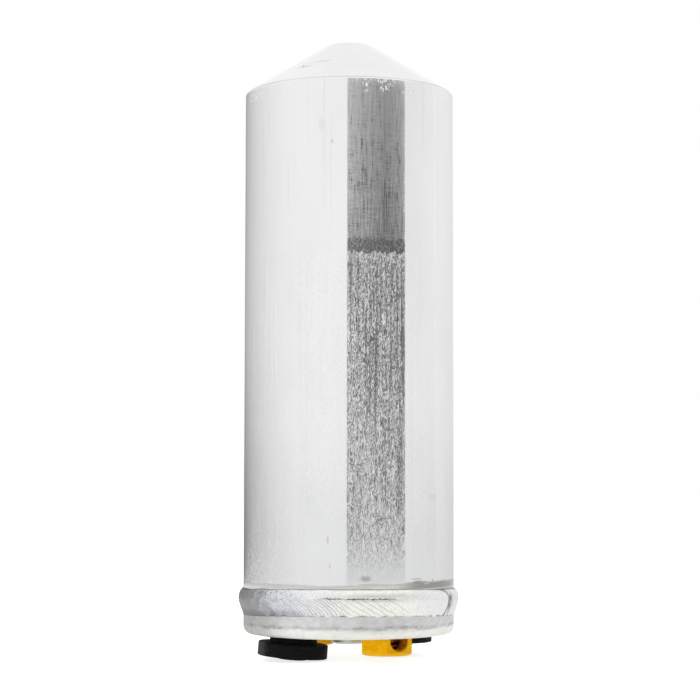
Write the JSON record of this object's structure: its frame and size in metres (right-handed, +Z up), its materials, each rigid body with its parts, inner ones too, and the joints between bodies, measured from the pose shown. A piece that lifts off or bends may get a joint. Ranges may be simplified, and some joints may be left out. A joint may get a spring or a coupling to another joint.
{
  "type": "receiver drier",
  "caption": "Upright cylindrical aluminium receiver drier with a conical closed end, a welded port head below, plugged ports and a hexagonal relief valve.",
  "frame": {"origin": "centre of the manifold boss's bottom face, on the canister's axis", "axes": "+Z up the canister's axis towards the cone, ports down; -Y is the side with the relief valve and the inlet port"},
  "size_m": [0.0632, 0.0632, 0.1764],
  "materials": {
    "canister_aluminium": "drawn, with fine lengthwise streaks",
    "weld_aluminium": "rippled arc weld with soot and heat tint",
    "head_aluminium": "turned, sooty beside the weld",
    "tube_aluminium": "drawn",
    "plate_aluminium": "pressed",
    "screen_steel": "fine stainless",
    "spring_steel": "plain wire",
    "valve_brass": "turned",
    "yellow_fitting": "golden yellow passivated, satin",
    "seal_rubber": "smooth",
    "filter_felt": "needled felt",
    "desiccant_beads": "molecular sieve beads",
    "plug_plastic": "black, slightly worn at the rim"
  },
  "bodies": {
    "vessel": {"canister_shell": "canister_aluminium", "weld_bead": "weld_aluminium", "port_head": "head_aluminium", "riser_tube": "tube_aluminium", "outlet_screen": "screen_steel", "lower_perforated_plate": "plate_aluminium", "upper_perforated_plate": "plate_aluminium", "lower_filter_pad": "filter_felt", "upper_filter_pad": "filter_felt", "desiccant_charge": "desiccant_beads", "bed_spring": "spring_steel", "relief_valve_body": "yellow_fitting", "relief_valve_seat": "valve_brass", "relief_valve_seal": "seal_rubber", "relief_spring": "spring_steel", "switch_port_plug": "yellow_fitting", "switch_port_seal": "seal_rubber"},
    "poppet": {"relief_poppet": "valve_brass", "relief_poppet_seal": "seal_rubber"},
    "inlet_plug": {"inlet_dust_plug": "plug_plastic"},
    "outlet_plug": {"outlet_dust_plug": "plug_plastic"}
  },
  "joints": [
    {"name": "relief_lift", "type": "slide", "parent": "vessel", "child": "poppet", "axis": [0, 0, -1], "range_m": [0, 0.0015], "stiffness_N_per_m": 8000, "springref_m": -0.005, "deforming": ["relief_spring"]},
    {"name": "inlet_plug_pull", "type": "slide", "parent": "vessel", "child": "inlet_plug", "axis": [0, 0, -1], "range_m": [0, 0.02]},
    {"name": "outlet_plug_pull", "type": "slide", "parent": "vessel", "child": "outlet_plug", "axis": [0, 0, -1], "range_m": [0, 0.02]}
  ]
}
